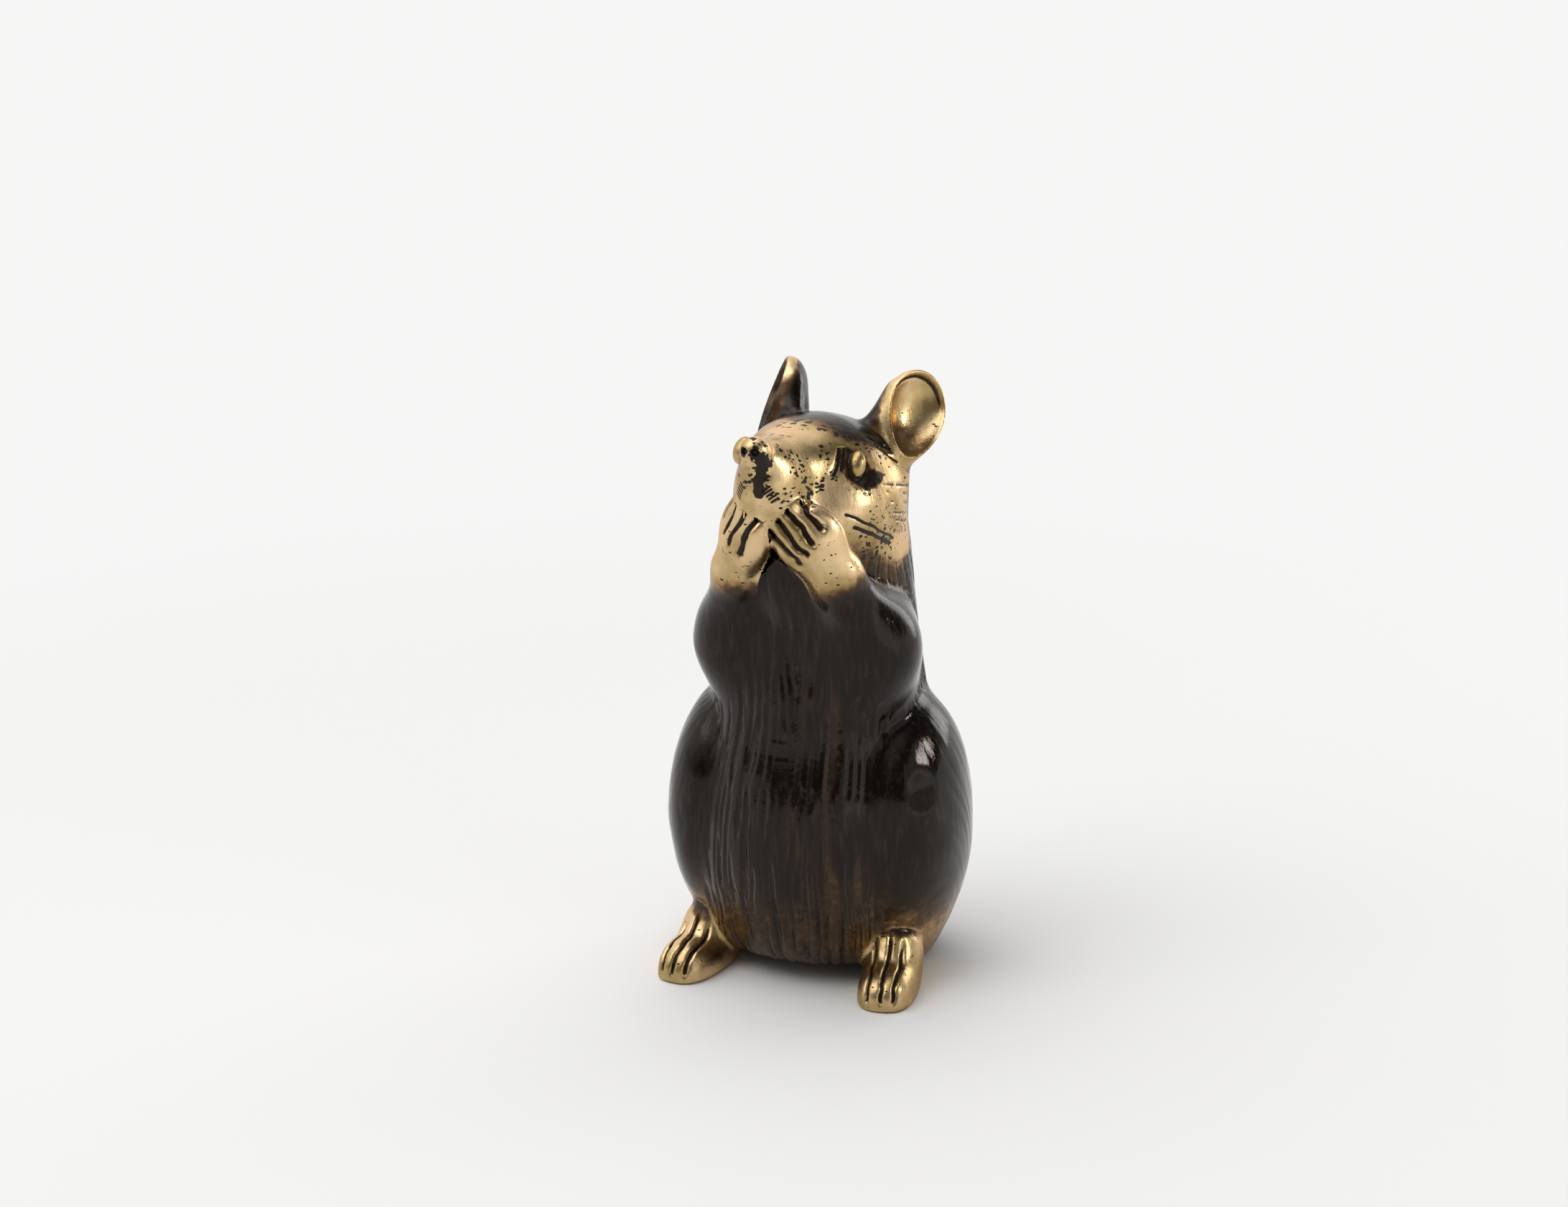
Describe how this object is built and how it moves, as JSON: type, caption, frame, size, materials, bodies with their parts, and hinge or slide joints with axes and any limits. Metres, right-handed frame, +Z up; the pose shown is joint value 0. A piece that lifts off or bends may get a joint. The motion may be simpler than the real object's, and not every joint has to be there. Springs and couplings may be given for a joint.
{
  "type": "mouse figurine",
  "caption": "Cast bronze mouse sitting upright with its hands over its mouth, a free-standing ornament with dark patina and polished face, ears, hands and feet.",
  "frame": {"origin": "on the surface it stands on, under the middle of its bounding box", "axes": "+Z up, -Y the way the body faces, +X to the mouse's own left"},
  "size_m": [0.0414, 0.0415, 0.0806],
  "materials": {
    "dark_bronze": "dark patina, waxed",
    "bare_bronze": "rubbed and polished",
    "brass_pins": "drawn rod"
  },
  "bodies": {
    "root": {"torso_shell": "dark_bronze", "left_foreleg": "dark_bronze", "right_foreleg": "dark_bronze", "tail": "dark_bronze", "base_plate": "dark_bronze", "core_plugs": "dark_bronze", "head_shell": "bare_bronze", "left_ear": "bare_bronze", "right_ear": "bare_bronze", "left_eye": "bare_bronze", "right_eye": "bare_bronze", "left_hind_foot": "bare_bronze", "right_hind_foot": "bare_bronze", "ear_pins": "brass_pins", "foreleg_pins": "brass_pins", "foot_pins": "brass_pins", "tail_pin": "brass_pins"}
  },
  "joints": []
}
